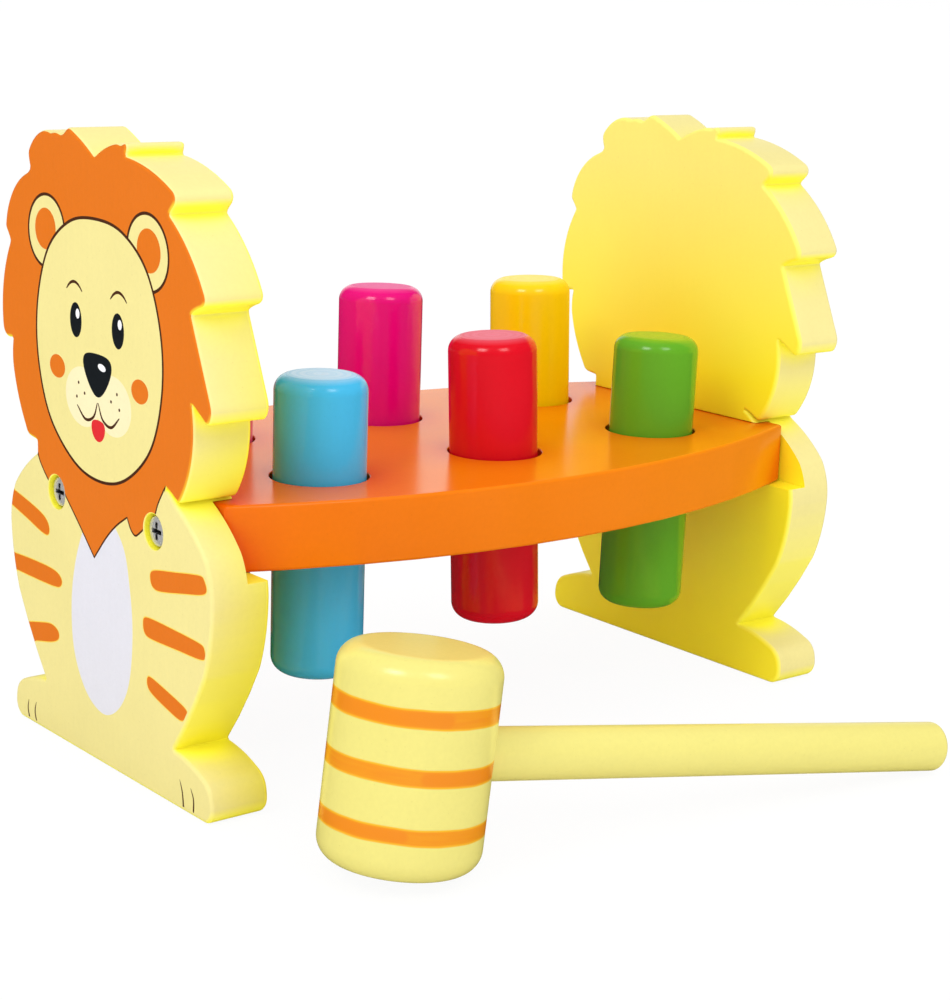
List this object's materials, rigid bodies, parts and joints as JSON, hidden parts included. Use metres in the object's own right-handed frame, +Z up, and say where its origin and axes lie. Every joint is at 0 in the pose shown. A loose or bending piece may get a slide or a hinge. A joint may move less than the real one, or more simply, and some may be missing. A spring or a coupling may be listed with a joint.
{
  "type": "pounding bench",
  "caption": "Wooden pounding bench with lion-shaped end panels, a curved plank with coloured pegs that slide through it, and a banded mallet lying in front.",
  "frame": {"origin": "middle of the ground area that the bench and the mallet in front of it take up, on the ground", "axes": "+X along the bench's length towards the right end panel, +Y to its back, away from the mallet, +Z up"},
  "size_m": [0.2396, 0.2158, 0.1836],
  "materials": {
    "panel_lacquer": "light yellow lacquer with an orange mane and stripes printed on the outer faces",
    "plank_lacquer": "glossy orange lacquer",
    "peg_blue_lacquer": "glossy light blue lacquer",
    "peg_red_lacquer": "glossy red lacquer",
    "peg_green_lacquer": "glossy green lacquer",
    "peg_pink_lacquer": "glossy pink lacquer",
    "peg_magenta_lacquer": "glossy magenta lacquer",
    "peg_yellow_lacquer": "glossy warm yellow lacquer",
    "ring_rubber": "dark matt rubber",
    "screw_steel": "zinc-plated steel",
    "mallet_lacquer": "light yellow lacquer with orange painted bands on the head"
  },
  "bodies": {
    "bench": {"panel_left": "panel_lacquer", "panel_right": "panel_lacquer", "plank": "plank_lacquer", "friction_ring_blue": "ring_rubber", "friction_ring_red": "ring_rubber", "friction_ring_green": "ring_rubber", "friction_ring_pink": "ring_rubber", "friction_ring_magenta": "ring_rubber", "friction_ring_yellow": "ring_rubber", "screw_left_front": "screw_steel", "screw_left_back": "screw_steel", "screw_right_front": "screw_steel", "screw_right_back": "screw_steel"},
    "blue_peg": {"peg_blue": "peg_blue_lacquer"},
    "red_peg": {"peg_red": "peg_red_lacquer"},
    "green_peg": {"peg_green": "peg_green_lacquer"},
    "pink_peg": {"peg_pink": "peg_pink_lacquer"},
    "magenta_peg": {"peg_magenta": "peg_magenta_lacquer"},
    "yellow_peg": {"peg_yellow": "peg_yellow_lacquer"},
    "mallet": {"mallet_head": "mallet_lacquer", "mallet_handle": "mallet_lacquer"}
  },
  "joints": [
    {"name": "blue_peg_slide", "type": "slide", "parent": "bench", "child": "blue_peg", "axis": [0.007, -0.0035, 1], "range_m": [-0.0266, 0.0398]},
    {"name": "red_peg_slide", "type": "slide", "parent": "bench", "child": "red_peg", "axis": [-0.0305, 0.0201, 0.9993], "range_m": [-0.0325, 0.0336]},
    {"name": "green_peg_slide", "type": "slide", "parent": "bench", "child": "green_peg", "axis": [0.0401, 0.0105, 0.9991], "range_m": [-0.0271, 0.039]},
    {"name": "pink_peg_slide", "type": "slide", "parent": "bench", "child": "pink_peg", "axis": [0.0453, 0.0366, 0.9983], "range_m": [-0.0234, 0.0425]},
    {"name": "magenta_peg_slide", "type": "slide", "parent": "bench", "child": "magenta_peg", "axis": [0.0262, 0.0244, 0.9994], "range_m": [-0.0397, 0.0264]},
    {"name": "yellow_peg_slide", "type": "slide", "parent": "bench", "child": "yellow_peg", "axis": [-0.0122, 0.0262, 0.9996], "range_m": [-0.0383, 0.0278]},
    {"name": "mallet_lift", "type": "slide", "parent": "bench", "child": "mallet", "axis": [0, 0, 1], "range_m": [0, 0.15]}
  ]
}
